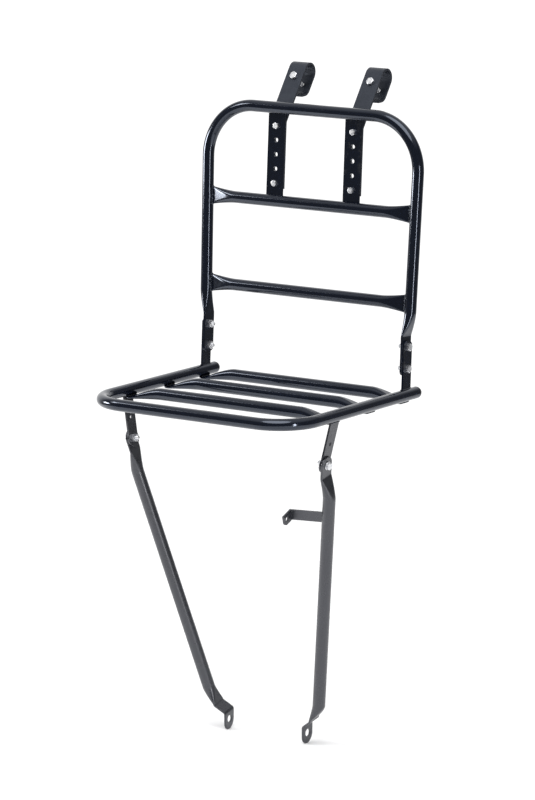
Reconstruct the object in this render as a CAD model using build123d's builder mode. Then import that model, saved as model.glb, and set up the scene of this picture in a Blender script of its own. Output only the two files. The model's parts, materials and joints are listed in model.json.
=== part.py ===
"""Bicycle front carrier: a tube platform hung from the handlebar and stayed by two legs to the axle.

Millimetres. +X runs across the bicycle along the wheel axle, -Y points forwards, +Z up.
The origin is midway between the two axle holes, on the axle's centre line.
Right and left are the +X and -X sides.
"""

import os
from math import cos, radians, sin

from build123d import *

os.makedirs("parts", exist_ok=True)

# ---------------------------------------------------------------- driving dimensions
tube_d = 17.0  # hoop, platform, crossbars and slats, outside
leg_tube_d = 18.0  # the two legs, outside
tube_wall = 1.5
strip = 3.0  # flat bar thickness, and a squeezed tube's two walls
squeezed_width = 25.0  # about half of a tube's circumference
out_of_round = 0.02  # makes the round section a slot, so that it lofts edge to edge into a flat one
bore_end = 0.15  # the bore closes this share of the squeezed length short of the flat
slit = 0.4  # height of the bore where it closes

rail_z = 484.5  # platform tubes' centre plane above the axle
rail_x = 173.0
front_y = -287.5  # platform's front tube, from the hoop's foot
rail_end_y = 23.5
platform_corner = 59.0
cap_plug = 12.0  # how far a cap goes into its rail

hoop_y = 91.2  # hoop's foot behind the axle
hoop_lean = 3.42
hoop_top = 387.0  # the following heights run up the leaning hoop from the rails' centre plane
upper_bar = 254.2
lower_bar = 128.3
hoop_half = 174.4  # tube centre at the lower bar
hoop_taper = 0.02  # the hoop widens this much per millimetre upwards
hoop_corner = 75.0
hoop_squeeze = (84.0, 118.0)  # the upright is flat below the first height and round above the second
hoop_foot = 28.0
foot_cut = 6.0  # the corners cut off the hoop's ends
bar_squeeze = 34.0  # length over which a crossbar goes from round to flat
bar_flat = 4.0  # flat length clear of the upright

tab_inner_x = 170.0  # the hoop's squeezed ends and the rear tabs meet on this plane
tab_width = 20.0
tab_top = 77.0
tab_cut = 5.0
tab_bolt_heights = (37.0, 68.0)

slat_ys = {"front_slat": -182.5, "middle_slat": -90.0, "rear_slat": -3.0}
slat_z = -1.5
slat_squeeze = (118.0, 164.0)
slat_end_x = 172.0
seat_depth = 0.3  # how far the slats' flats are notched to seat on the rails

plate_x = 65.1
plate_width = 28.0
plate_front = -4.7  # the plate's front face stands this far behind the hoop's centre plane
plate_thickness = 2.0
strap_thickness = 3.0
strap_hole_d = 6.6  # loose round the bolts, so that the straps slide easily when they are moved
hole_pitch = 20.5
hole_middle = 320.0
strap_foot = 271.4
strap_bend = 367.0
strap_bend_r = 6.0
strap_lean = 35.0
hook_reach = 102.0  # from the bend to the top of the hook
bar_radius = 11.15  # a 22.2 mm handlebar, in the crest of the hook
clamp_drop = 29.0  # the clamp bolt passes just under the handlebar
lip_drop = 37.0  # where the strap's end turns in below the bolt
lip_bend = 53.0
lip_length = 8.0

leg_lean = 11.9  # the legs close in on the wheel
leg_swing = 13.25  # and run back down to the axle
bracket_rake = 4.7
bracket_width = 20.0
bracket_tip = 12.0
pivot = (163.7, -99.8, 416.5)  # bolt's centre on the right bracket's outer face
pivot_gap = 0.1
washer_gap = 0.1
leg_flat = 20.0
leg_top_squeeze = 28.0
foot_squeeze = 20.0
foot_rise = 22.0  # the leg's pinch, up the leg from the axle
foot_flat = 4.0  # flat length above the pinch
foot_x = 68.0
foot_width = 23.0
foot_tip = 15.0
foot_bend_height = 12.0
axle_hole_d = 11.5
spare_hole = 30.0  # above the pivot
spare_hole_d = 5.2

lamp_arm_along = 80.0  # down the leg from its pivot
lamp_arm_width = 15.0
lamp_arm_droop = 3.0
lamp_end_x = 93.0
lamp_tab_reach = 18.3
lamp_tab_drop = 7.4
lamp_tab_corner = 5.0
lamp_hole_out = 0.62  # share of the tab's reach
lamp_hole_d = 6.5

m5 = {"d": 5.0, "across": 8.0, "head": 3.5, "nut": 4.0}
m6 = {"d": 6.0, "across": 10.0, "head": 4.0, "nut": 5.0}
washer_d = 12.0
washer_thickness = 1.2
thread_end = 4.0  # how far a bolt stands out of its nut
edge_break = 0.5  # chamfer on a bolt's head and tip
nut_clearance = 0.05
running_clearance = 0.08
hole_clearance = 0.25

# ---------------------------------------------------------------- worked out from them
tube_r = tube_d / 2
bore_d = tube_d - 2 * tube_wall
leg_tube_r = leg_tube_d / 2
leg_bore_d = leg_tube_d - 2 * tube_wall
rails = Plane(origin=(0, hoop_y, rail_z))
up_lean = Vector(0, sin(radians(hoop_lean)), cos(radians(hoop_lean)))
forward_of_hoop = Vector(0, -cos(radians(hoop_lean)), sin(radians(hoop_lean)))
hoop = Plane(origin=rails.origin, x_dir=(1, 0, 0), z_dir=forward_of_hoop)
across = Vector(1, 0, 0)
hoop_side = Plane(origin=rails.origin, x_dir=-forward_of_hoop, z_dir=across)


def upright_x(height):
    """Centre of the hoop's upright at a height up the hoop."""
    return hoop_half + hoop_taper * (height - lower_bar)


def section(plane, size, thickness):
    """Face of a rounded strip, or of a round tube when both sizes are the tube's."""
    long_size = size + out_of_round if size == thickness else size
    with BuildSketch(plane) as face:
        SlotOverall(long_size, thickness)
    return face.sketch


def squeezed_tube(round_plane, flat_plane, outside):
    """Stretch of tube squeezed from round to flat, with its bore closing inside it.

    Outside is the diameter of the round end.
    """
    inside = outside - 2 * tube_wall
    closing = flat_plane.origin + (round_plane.origin - flat_plane.origin) * bore_end
    slit_plane = Plane(origin=closing, x_dir=flat_plane.x_dir, z_dir=flat_plane.z_dir)
    walls = loft([section(round_plane, outside, outside), section(flat_plane, squeezed_width, strip)])
    bore = loft([section(round_plane, inside, inside), section(slit_plane, inside, slit)])
    return walls - bore


def bolts(size, seats, grip):
    """Hexagon bolts: each seat is a plane whose normal points from the head's underside outwards."""
    made = []
    shank = grip + size["nut"] + thread_end
    for seat in seats:
        with BuildPart() as bolt:
            with BuildSketch(seat):
                RegularPolygon(size["across"] / 2, 6, major_radius=False)
            extrude(amount=size["head"])
            crown = bolt.faces().sort_by(Axis(seat.origin, seat.z_dir))[-1]
            chamfer(crown.edges(), edge_break)
            with BuildSketch(seat):
                Circle(size["d"] / 2)
            extrude(amount=-shank)
            tip = bolt.faces().sort_by(Axis(seat.origin, seat.z_dir))[0]
            chamfer(tip.edges(), edge_break)
        made.append(bolt.part.solid())
    return Compound(children=made)


def nuts(size, seats, grip):
    """Nuts on the far side of what the same seats' bolts hold."""
    made = []
    for seat in seats:
        face = seat.offset(-grip)
        with BuildPart() as nut:
            with BuildSketch(face):
                RegularPolygon(size["across"] / 2, 6, major_radius=False)
                Circle(size["d"] / 2 + nut_clearance, mode=Mode.SUBTRACT)
            extrude(amount=-size["nut"])
        made.append(nut.part.solid())
    return Compound(children=made)


def save(shape, name):
    """Label a finished piece and write it under its own name."""
    shape.label = name
    export_step(shape, f"parts/{name}.step")


# ---------------------------------------------------------------- back hoop
squeeze_low, squeeze_high = hoop_squeeze
hoop_flat_x = tab_inner_x - strip / 2
with BuildLine(hoop) as half_hoop:
    FilletPolyline(
        (0, hoop_top),
        (upright_x(hoop_top), hoop_top),
        (upright_x(squeeze_high), squeeze_high),
        radius=hoop_corner,
    )
hoop_path = half_hoop.wire()
upright_end = Plane(origin=hoop_path @ 1, x_dir=forward_of_hoop, z_dir=-(hoop_path % 1))
upright_flat = Plane(
    origin=hoop.from_local_coords((hoop_flat_x, squeeze_low)), x_dir=forward_of_hoop, z_dir=up_lean
)
hoop_squeezed = squeezed_tube(upright_end, upright_flat, tube_d)

with BuildPart() as back_hoop:
    with BuildSketch(Plane(origin=hoop_path @ 0, x_dir=forward_of_hoop, z_dir=hoop_path % 0)):
        SlotOverall(tube_d + out_of_round, tube_d)
        SlotOverall(bore_d + out_of_round, bore_d, mode=Mode.SUBTRACT)
    sweep(path=hoop_path)
    add(hoop_squeezed)
    with BuildSketch(upright_flat):
        SlotOverall(squeezed_width, strip)
    extrude(amount=hoop_foot - squeeze_low)
    mirror(about=Plane.YZ)
    with BuildSketch(hoop_side):
        for edge in (-1, 1):
            corner = (edge * squeezed_width / 2, hoop_foot)
            Polygon(
                corner,
                (corner[0] - edge * foot_cut, hoop_foot),
                (corner[0], hoop_foot + foot_cut),
                align=None,
            )
        with Locations(*[(0, height) for height in tab_bolt_heights]):
            Circle(m6["d"] / 2 + hole_clearance)
    extrude(amount=rail_x + tube_d, both=True, mode=Mode.SUBTRACT)
save(back_hoop.part, "back_hoop")

# ---------------------------------------------------------------- crossbars
for bar_name, height in (("upper_crossbar", upper_bar), ("lower_crossbar", lower_bar)):
    flat_end = upright_x(height) - tube_r - bar_flat
    round_end = flat_end - bar_squeeze
    centre = hoop.from_local_coords((0, height))
    bar_round = Plane(origin=centre + across * round_end, x_dir=up_lean, z_dir=across)
    bar_flat_plane = bar_round.offset(bar_squeeze)
    bar_squeezed = squeezed_tube(bar_round, bar_flat_plane, tube_d)
    below = height - squeezed_width
    above = height + squeezed_width
    upright_below = hoop.from_local_coords((upright_x(below), below))
    upright_above = hoop.from_local_coords((upright_x(above), above))
    upright = Plane(origin=upright_below, z_dir=upright_above - upright_below)
    with BuildPart() as crossbar:
        with BuildSketch(Plane(origin=centre, x_dir=up_lean, z_dir=across)):
            SlotOverall(tube_d + out_of_round, tube_d)
            SlotOverall(bore_d + out_of_round, bore_d, mode=Mode.SUBTRACT)
        extrude(amount=round_end)
        add(bar_squeezed)
        with BuildSketch(bar_flat_plane):
            SlotOverall(squeezed_width, strip)
        extrude(amount=bar_flat + tube_r)
        with BuildSketch(upright):
            Circle(tube_r + out_of_round)
        extrude(amount=2 * squeezed_width, mode=Mode.SUBTRACT)
        mirror(about=Plane.YZ)
    save(crossbar.part, bar_name)

# ---------------------------------------------------------------- platform hoop and its caps
with BuildLine(rails) as half_platform:
    FilletPolyline((0, front_y), (rail_x, front_y), (rail_x, rail_end_y), radius=platform_corner)
platform_path = half_platform.wire()
with BuildPart() as platform_hoop:
    with BuildSketch(Plane(origin=platform_path @ 0, z_dir=platform_path % 0)):
        Circle(tube_r)
        Circle(bore_d / 2, mode=Mode.SUBTRACT)
    sweep(path=platform_path)
    mirror(about=Plane.YZ)
save(platform_hoop.part, "platform_hoop")

rail_mouth = platform_path @ 1
cap_r = bore_d / 2 - nut_clearance
with BuildPart() as rail_end_caps:
    with BuildSketch(Plane(origin=rail_mouth, x_dir=across, z_dir=(0, 0, 1))):
        with BuildLine():
            Polyline((0, -cap_plug), (cap_r, -cap_plug), (cap_r, 0), (tube_r, 0))
            CenterArc((0, 0), tube_r, 0, 90)
            Line((0, tube_r), (0, -cap_plug))
        make_face()
    revolve(axis=Axis(rail_mouth, (0, 1, 0)))
    mirror(about=Plane.YZ)
save(rail_end_caps.part, "rail_end_caps")

# ---------------------------------------------------------------- slats
slat_round_x, slat_flat_x = slat_squeeze
for slat_name, slat_y in slat_ys.items():
    slat_centre = Plane(origin=rails.origin + Vector(0, slat_y, slat_z), x_dir=(0, 1, 0), z_dir=across)
    slat_round = slat_centre.offset(slat_round_x)
    slat_flat = Plane(
        origin=rails.origin + Vector(slat_flat_x, slat_y, -tube_r + seat_depth - strip / 2),
        x_dir=(0, 1, 0),
        z_dir=across,
    )
    slat_squeezed = squeezed_tube(slat_round, slat_flat, tube_d)
    with BuildPart() as slat:
        with BuildSketch(slat_centre):
            SlotOverall(tube_d + out_of_round, tube_d)
            SlotOverall(bore_d + out_of_round, bore_d, mode=Mode.SUBTRACT)
        extrude(amount=slat_round_x)
        add(slat_squeezed)
        with BuildSketch(slat_flat):
            SlotOverall(squeezed_width, strip)
        extrude(amount=slat_end_x - slat_flat_x)
        with BuildSketch(Plane(origin=rails.origin + Vector(rail_x, 0, 0), z_dir=(0, 1, 0))):
            Circle(tube_r)
        extrude(amount=-front_y, both=True, mode=Mode.SUBTRACT)
        mirror(about=Plane.YZ)
    save(slat.part, slat_name)

# ---------------------------------------------------------------- rear tabs
with BuildPart() as right_rear_tab:
    with BuildSketch(hoop_side.offset(tab_inner_x)):
        with BuildLine():
            Polyline(
                (-tab_width / 2, 0),
                (tab_width / 2, 0),
                (tab_width / 2, tab_top - tab_cut),
                (tab_width / 2 - tab_cut, tab_top),
                (tab_cut - tab_width / 2, tab_top),
                (-tab_width / 2, tab_top - tab_cut),
                close=True,
            )
        make_face()
        with Locations(*[(0, height) for height in tab_bolt_heights]):
            Circle(m6["d"] / 2 + hole_clearance, mode=Mode.SUBTRACT)
    extrude(amount=strip)
    with BuildSketch(Plane(origin=rails.origin + Vector(rail_x, 0, 0), z_dir=(0, 1, 0))):
        Circle(tube_r)
    extrude(amount=2 * tab_width, both=True, mode=Mode.SUBTRACT)
save(right_rear_tab.part, "right_rear_tab")
save(mirror(right_rear_tab.part, about=Plane.YZ), "left_rear_tab")

tab_seats = []
for side in (-1, 1):
    for height in tab_bolt_heights:
        seat_origin = hoop.from_local_coords((side * (tab_inner_x + strip), height))
        tab_seats.append(Plane(origin=seat_origin, x_dir=up_lean, z_dir=across * side))
save(bolts(m6, tab_seats, 2 * strip), "tab_bolts")
save(nuts(m6, tab_seats, 2 * strip), "tab_nuts")

# ---------------------------------------------------------------- hook plates and straps
hole_heights = [hole_middle + (index - 2) * hole_pitch for index in range(5)]
for side, side_name in ((-1, "left"), (1, "right")):
    with BuildPart() as hook_plate:
        with BuildSketch(hoop.offset(plate_front)):
            with Locations((side * plate_x, (upper_bar + hoop_top) / 2)):
                Rectangle(plate_width, hoop_top - upper_bar - tube_r / 2)
            with Locations(*[(side * plate_x, height) for height in hole_heights]):
                Circle(strap_hole_d / 2, mode=Mode.SUBTRACT)
        extrude(amount=-plate_thickness)
        for height in (upper_bar, hoop_top):
            bar_line = Plane(origin=hoop.from_local_coords((0, height)), x_dir=up_lean, z_dir=across)
            with BuildSketch(bar_line):
                Circle(tube_r + out_of_round)
            extrude(amount=2 * plate_x, both=True, mode=Mode.SUBTRACT)
    save(hook_plate.part, f"{side_name}_hook_plate")

strap_middle = plate_front - plate_thickness - strap_thickness / 2
crest_r = bar_radius + strap_thickness / 2
crest_drop = bar_radius + strap_thickness
lean_up = Vector(sin(radians(strap_lean)), cos(radians(strap_lean)))
lean_back = Vector(cos(radians(strap_lean)), -sin(radians(strap_lean)))


def beside_hoop(height, ahead):
    """Point of the hoop's own plane, seen from the side as (backwards, up)."""
    spot = up_lean * height + forward_of_hoop * ahead
    return Vector(spot.Y, spot.Z)


strap_bottom = beside_hoop(strap_foot, strap_middle)
strap_corner = beside_hoop(strap_bend, strap_middle)
hook_crest = strap_corner + lean_up * (hook_reach - crest_drop)
with BuildLine() as strap_line:
    shin = FilletPolyline(
        (strap_bottom.X, strap_bottom.Y),
        (strap_corner.X, strap_corner.Y),
        (hook_crest.X, hook_crest.Y),
        radius=strap_bend_r,
    )
    crest = JernArc(shin @ 1, lean_up, crest_r, -180)
    back_leg = Line(crest @ 1, crest @ 1 - lean_up * (lip_drop - crest_drop))
    turn = JernArc(back_leg @ 1, -lean_up, crest_r, -lip_bend)
    lip = Line(turn @ 1, turn @ 1 + (turn % 1) * lip_length)
strap_edges = strap_line.line
bar_centre = hook_crest + lean_back * crest_r
clamp_level = bar_centre - lean_up * (clamp_drop - crest_drop)

for side, side_name in ((-1, "left"), (1, "right")):
    middle = Plane(origin=rails.origin + across * side * plate_x, x_dir=(0, 1, 0), z_dir=across)
    with BuildPart() as hook_strap:
        with BuildSketch(middle):
            trace(strap_edges, strap_thickness)
        extrude(amount=plate_width / 2, both=True)
        with BuildSketch(hoop.offset(strap_middle)):
            with Locations(*[(side * plate_x, height) for height in hole_heights]):
                Circle(strap_hole_d / 2)
        extrude(amount=strap_thickness, both=True, mode=Mode.SUBTRACT)
        clamp_hole = Plane(
            origin=middle.from_local_coords((clamp_level.X, clamp_level.Y)),
            x_dir=across,
            z_dir=(0, lean_back.X, lean_back.Y),
        )
        with BuildSketch(clamp_hole):
            Circle(m6["d"] / 2 + hole_clearance)
        extrude(amount=2 * crest_r, both=True, mode=Mode.SUBTRACT)
    save(hook_strap.part, f"{side_name}_hook_strap")

plate_seats = []
clamp_seats = []
for side in (-1, 1):
    for height in (hole_heights[0], hole_heights[-1]):
        seat_origin = hoop.offset(plate_front).from_local_coords((side * plate_x, height))
        plate_seats.append(Plane(origin=seat_origin, x_dir=across, z_dir=forward_of_hoop))
    front_face = clamp_level - lean_back * (crest_r + strap_thickness / 2)
    seat_origin = rails.origin + Vector(side * plate_x, front_face.X, front_face.Y)
    clamp_seats.append(Plane(origin=seat_origin, x_dir=across, z_dir=(0, -lean_back.X, -lean_back.Y)))
save(bolts(m5, plate_seats, plate_thickness + strap_thickness), "hook_plate_bolts")
save(nuts(m5, plate_seats, plate_thickness + strap_thickness), "hook_plate_nuts")
clamp_grip = 2 * crest_r + strap_thickness
save(bolts(m6, clamp_seats, clamp_grip), "hook_clamp_bolts")
save(nuts(m6, clamp_seats, clamp_grip), "hook_clamp_nuts")

# ---------------------------------------------------------------- leg brackets
outward = Vector(cos(radians(leg_lean)), 0, -sin(radians(leg_lean)))
leg_face = Plane(origin=pivot, x_dir=(0, 1, 0), z_dir=outward)


def swung(plane, angle):
    """The same plane turned about its own normal."""
    turned = plane.x_dir * cos(radians(angle)) + plane.y_dir * sin(radians(angle))
    return Plane(origin=plane.origin, x_dir=turned, z_dir=plane.z_dir)


bracket_face = swung(leg_face, -bracket_rake)
bracket_length = (rail_z - pivot[2]) / cos(radians(leg_lean))
with BuildPart() as right_leg_bracket:
    with BuildSketch(bracket_face):
        with Locations((0, bracket_length / 2)):
            Rectangle(bracket_width, bracket_length)
        Circle(bracket_tip)
        Circle(m6["d"] / 2 + nut_clearance, mode=Mode.SUBTRACT)
        with Locations((0, spare_hole)):
            Circle(spare_hole_d / 2, mode=Mode.SUBTRACT)
    extrude(amount=-strip)
    with BuildSketch(Plane(origin=rails.origin + across * rail_x, x_dir=-across, z_dir=(0, 1, 0))):
        Circle(tube_r)
        Rectangle(3 * tube_d, 2 * tube_d, align=(Align.CENTER, Align.MIN))
    extrude(amount=-front_y, both=True, mode=Mode.SUBTRACT)
save(right_leg_bracket.part, "right_leg_bracket")
save(mirror(right_leg_bracket.part, about=Plane.YZ), "left_leg_bracket")

# ---------------------------------------------------------------- legs
leg = swung(leg_face, leg_swing)
down_leg = -leg.y_dir
tube_axis = leg.offset(pivot_gap + leg_tube_r)
flat_axis = leg.offset(pivot_gap + strip / 2)


def on_leg(plane, along):
    """Section plane across a line of the leg, at a distance down from the pivot."""
    return Plane(origin=plane.from_local_coords((0, -along)), x_dir=leg.x_dir, z_dir=down_leg)


foot_bend = Vector(foot_x, 0, foot_bend_height)
leg_end = -pivot[1] / sin(radians(leg_swing))
crease = leg_end - foot_rise
crank_start = flat_axis.from_local_coords((0, -crease))
crank = (foot_bend - crank_start).normalized()
crease_plane = Plane(origin=crank_start, x_dir=leg.x_dir, z_dir=down_leg + crank)
bend_plane = Plane(origin=foot_bend, x_dir=(0, 1, 0), z_dir=crank - Vector(0, 0, 1))
round_top = on_leg(tube_axis, leg_flat + leg_top_squeeze)
round_bottom = on_leg(tube_axis, crease - foot_flat - foot_squeeze)
flat_bottom = on_leg(flat_axis, crease - foot_flat)
top_squeezed = squeezed_tube(round_top, on_leg(flat_axis, leg_flat), leg_tube_d)
foot_squeezed = squeezed_tube(round_bottom, flat_bottom, leg_tube_d)
at_crease = section(crease_plane, squeezed_width, strip)
to_crease = loft([section(flat_bottom, squeezed_width, strip), at_crease])
crank_strip = loft([at_crease, section(bend_plane, foot_width, strip)])
foot_round = foot_width / 2 - foot_tip
with BuildPart() as right_leg:
    with BuildSketch(leg.offset(pivot_gap)):
        Circle(squeezed_width / 2)
        with Locations((0, -leg_flat / 2)):
            Rectangle(squeezed_width, leg_flat)
        Circle(m6["d"] / 2 + running_clearance, mode=Mode.SUBTRACT)
    extrude(amount=strip)
    add(top_squeezed)
    with BuildSketch(round_top):
        SlotOverall(leg_tube_d + out_of_round, leg_tube_d)
        SlotOverall(leg_bore_d + out_of_round, leg_bore_d, mode=Mode.SUBTRACT)
    extrude(amount=(round_bottom.origin - round_top.origin).length)
    add(foot_squeezed)
    add(to_crease)
    add(crank_strip)
    with BuildSketch(Plane(origin=(foot_x, 0, 0), x_dir=(0, 1, 0), z_dir=(1, 0, 0))):
        with Locations((0, foot_round)):
            Circle(foot_width / 2)
            Rectangle(foot_width, foot_bend_height - foot_round, align=(Align.CENTER, Align.MIN))
        Circle(axle_hole_d / 2, mode=Mode.SUBTRACT)
    extrude(amount=strip / 2, both=True)
save(right_leg.part, "right_leg")
save(mirror(right_leg.part, about=Plane.YZ), "left_leg")

pivot_grip = 2 * strip + pivot_gap + washer_gap + washer_thickness
right_seat = leg_face.offset(pivot_grip - strip)
left_seat = Plane(
    origin=(-right_seat.origin.X, right_seat.origin.Y, right_seat.origin.Z),
    x_dir=(0, 1, 0),
    z_dir=(-right_seat.z_dir.X, 0, right_seat.z_dir.Z),
)
save(bolts(m6, [left_seat, right_seat], pivot_grip), "pivot_bolts")
save(nuts(m6, [left_seat, right_seat], pivot_grip), "pivot_nuts")
with BuildPart() as pivot_washers:
    for seat in (left_seat, right_seat):
        with BuildSketch(seat):
            Circle(washer_d / 2)
            Circle(m6["d"] / 2 + nut_clearance, mode=Mode.SUBTRACT)
        extrude(amount=-washer_thickness)
save(pivot_washers.part, "pivot_washers")

# ---------------------------------------------------------------- lamp bracket
arm_root = tube_axis.from_local_coords((0, -lamp_arm_along))
arm_inward = Vector(-cos(radians(lamp_arm_droop)), 0, -sin(radians(lamp_arm_droop)))
arm_down = (down_leg - arm_inward * down_leg.dot(arm_inward)).normalized()
arm_plane = Plane(origin=arm_root, x_dir=arm_inward, z_dir=arm_inward.cross(arm_down))
arm_length = (arm_root.X - lamp_end_x) / cos(radians(lamp_arm_droop))
arm_end = arm_root + arm_inward * arm_length
fold_top = arm_end - arm_down * lamp_arm_width / 2
fold_bottom = arm_end + arm_down * lamp_arm_width / 2
lamp_hole = (arm_end.Y - lamp_hole_out * lamp_tab_reach, arm_end.Z - lamp_hole_out * lamp_tab_drop)
with BuildPart() as lamp_bracket:
    with BuildSketch(arm_plane):
        with Locations((arm_length / 2, 0)):
            Rectangle(arm_length, lamp_arm_width)
    extrude(amount=strip / 2, both=True)
    with BuildSketch(Plane(origin=(lamp_end_x, 0, 0), x_dir=(0, 1, 0), z_dir=(1, 0, 0))) as lamp_tab:
        with BuildLine():
            Polyline(
                (fold_top.Y, fold_top.Z),
                (fold_bottom.Y, fold_bottom.Z),
                (fold_bottom.Y - lamp_tab_reach, fold_bottom.Z - lamp_tab_drop),
                (fold_top.Y - lamp_tab_reach, fold_top.Z - lamp_tab_drop),
                close=True,
            )
        make_face()
        fillet(lamp_tab.vertices().sort_by(Axis.Y)[:2], lamp_tab_corner)
        with Locations(lamp_hole):
            Circle(lamp_hole_d / 2, mode=Mode.SUBTRACT)
    extrude(amount=strip)
    with BuildSketch(on_leg(tube_axis, 0)):
        Circle(leg_tube_r + out_of_round)
    extrude(amount=2 * lamp_arm_along, mode=Mode.SUBTRACT)
save(lamp_bracket.part, "lamp_bracket")
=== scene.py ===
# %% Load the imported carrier
import json
from math import ceil, cos, pi, radians, sin, sqrt, tan

import bmesh
import bpy
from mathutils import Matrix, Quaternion, Vector


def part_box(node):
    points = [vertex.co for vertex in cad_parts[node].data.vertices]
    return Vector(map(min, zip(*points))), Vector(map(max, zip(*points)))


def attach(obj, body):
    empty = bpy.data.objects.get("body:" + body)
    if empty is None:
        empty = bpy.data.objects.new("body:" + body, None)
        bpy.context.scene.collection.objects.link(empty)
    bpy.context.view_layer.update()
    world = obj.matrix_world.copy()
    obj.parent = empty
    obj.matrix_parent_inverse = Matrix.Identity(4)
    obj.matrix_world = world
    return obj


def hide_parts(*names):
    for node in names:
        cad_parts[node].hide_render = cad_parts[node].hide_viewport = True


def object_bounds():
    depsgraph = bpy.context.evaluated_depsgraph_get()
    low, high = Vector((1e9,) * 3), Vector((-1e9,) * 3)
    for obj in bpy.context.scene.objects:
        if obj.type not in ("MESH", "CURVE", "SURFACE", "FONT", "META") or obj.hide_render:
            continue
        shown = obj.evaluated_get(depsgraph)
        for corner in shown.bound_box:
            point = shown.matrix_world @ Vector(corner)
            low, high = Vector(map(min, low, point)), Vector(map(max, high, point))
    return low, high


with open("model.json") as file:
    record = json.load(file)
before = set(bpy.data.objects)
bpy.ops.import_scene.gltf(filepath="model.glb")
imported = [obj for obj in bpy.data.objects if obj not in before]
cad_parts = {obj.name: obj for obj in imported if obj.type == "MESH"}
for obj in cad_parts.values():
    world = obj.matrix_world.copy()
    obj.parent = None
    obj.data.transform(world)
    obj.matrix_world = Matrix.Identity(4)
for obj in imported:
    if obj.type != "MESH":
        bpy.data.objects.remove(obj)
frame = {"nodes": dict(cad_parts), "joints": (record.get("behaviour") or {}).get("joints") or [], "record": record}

scene = bpy.context.scene
cad_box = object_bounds()
record = frame["record"]
print("CAD box", [[round(c, 4) for c in corner] for corner in cad_box])

# %% [markdown]
# # A bicycle carrier that hooks over the handlebar
#
# The real thing is bent from two close sizes of steel tube. Wherever a tube has to be bolted or welded it is
# squeezed flat, and that one trick gives the carrier its look. So the first tool to build is a tube that can be
# squeezed, and most of the carrier follows from it. Strips, hexagon bolts and weld beads do the rest.
#
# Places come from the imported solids' boxes, and from the mounts and joints in the record. A box can't give a
# bend's radius or a bolt's height up the leaning hoop, so such sizes are named where they are needed.

# %% Sizes that the pieces share
MM = 0.001
tube_r = 8.5 * MM
leg_tube_r = 9 * MM
squeezed_width = 25 * MM
squeezed_thickness = 3 * MM
hoop_lean = radians(3.42)
lean_up = Vector((0, sin(hoop_lean), cos(hoop_lean)))
lean_front = Vector((0, -cos(hoop_lean), sin(hoop_lean)))
across = Vector((1, 0, 0))

hoop_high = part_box("back_hoop")[1]
hoop_top_height = 387 * MM
upper_bar_height = 254.2 * MM
lower_bar_height = 128.3 * MM
bar_heights = {"upper_crossbar": upper_bar_height, "lower_crossbar": lower_bar_height}
hoop_top = Vector((0, hoop_high.y - tube_r, hoop_high.z - tube_r))
rail_low, rail_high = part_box("platform_hoop")
rail_z = (rail_low.z + rail_high.z) / 2
rail_x = rail_high.x - tube_r


def on_hoop(x, height, ahead=0.0):
    """A point of the leaning hoop, by height up it from the platform and distance in front of it."""
    foot = hoop_top - lean_up * hoop_top_height
    return foot + across * x + lean_up * height + lean_front * ahead


print("hoop foot", [round(c, 4) for c in on_hoop(0, 0)])
print("rails at x", round(rail_x, 4), "z", round(rail_z, 4))

# %% [markdown]
# ## Helpers for node trees
#
# Geometry Nodes can be wired by hand or by script. A script needs three things again and again: put a node in
# and fill or link its sockets, do one sum, and start a tree with named inputs. Short helpers keep the trees
# readable.

# %% Node helpers
def fill(group, socket, value):
    """Links a socket to another one, or sets its value."""
    if isinstance(value, bpy.types.NodeSocket):
        group.links.new(value, socket)
    else:
        socket.default_value = value


def put(group, kind, inputs=None, **options):
    """Adds a node with its options, then fills its inputs by name or number."""
    node = group.nodes.new(kind)
    for option, value in options.items():
        setattr(node, option, value)
    for key, value in (inputs or {}).items():
        fill(group, node.inputs[key], value)
    return node


def calc(group, operation, *values):
    """One sum on numbers."""
    node = put(group, "ShaderNodeMath", dict(enumerate(values)), operation=operation)
    return node.outputs[0]


def vec(group, operation, *values):
    """One sum on vectors; a scale takes its number last."""
    node = group.nodes.new("ShaderNodeVectorMath")
    node.operation = operation
    slots = [0, 3] if operation == "SCALE" else range(len(values))
    for number, value in zip(slots, values):
        fill(group, node.inputs[number], value)
    return node.outputs["Value" if operation in ("LENGTH", "DOT_PRODUCT") else "Vector"]


def read(group, name, kind="FLOAT"):
    """A named attribute of the geometry."""
    return put(group, "GeometryNodeInputNamedAttribute", {"Name": name}, data_type=kind).outputs["Attribute"]


def keep(group, geometry, name, value, kind="FLOAT"):
    """Stores a value on every point under a name."""
    node = put(
        group,
        "GeometryNodeStoreNamedAttribute",
        {"Geometry": geometry, "Name": name, "Value": value},
        data_type=kind,
        domain="POINT",
    )
    return node.outputs[0]


def new_tree(name, **sizes):
    """A tree with one geometry input and the named sizes after it, and what comes out of its input node."""
    group = bpy.data.node_groups.new(name, "GeometryNodeTree")
    group.interface.new_socket("Geometry", in_out="INPUT", socket_type="NodeSocketGeometry")
    for size, value in sizes.items():
        kind = {int: "Int", float: "Float", Vector: "Vector"}[type(value)]
        socket = group.interface.new_socket(
            size.replace("_", " "), in_out="INPUT", socket_type="NodeSocket" + kind
        )
        socket.default_value = value
    group.interface.new_socket("Geometry", in_out="OUTPUT", socket_type="NodeSocketGeometry")
    return group, group.nodes.new("NodeGroupInput").outputs


def end_tree(group, geometry, material):
    """Ends a tree: instances made real and one material."""
    real = put(group, "GeometryNodeRealizeInstances", {"Geometry": geometry}).outputs[0]
    painted = put(group, "GeometryNodeSetMaterial", {"Geometry": real, "Material": material}).outputs[0]
    out = group.nodes.new("NodeGroupOutput")
    group.links.new(painted, out.inputs[0])
    return group


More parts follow.
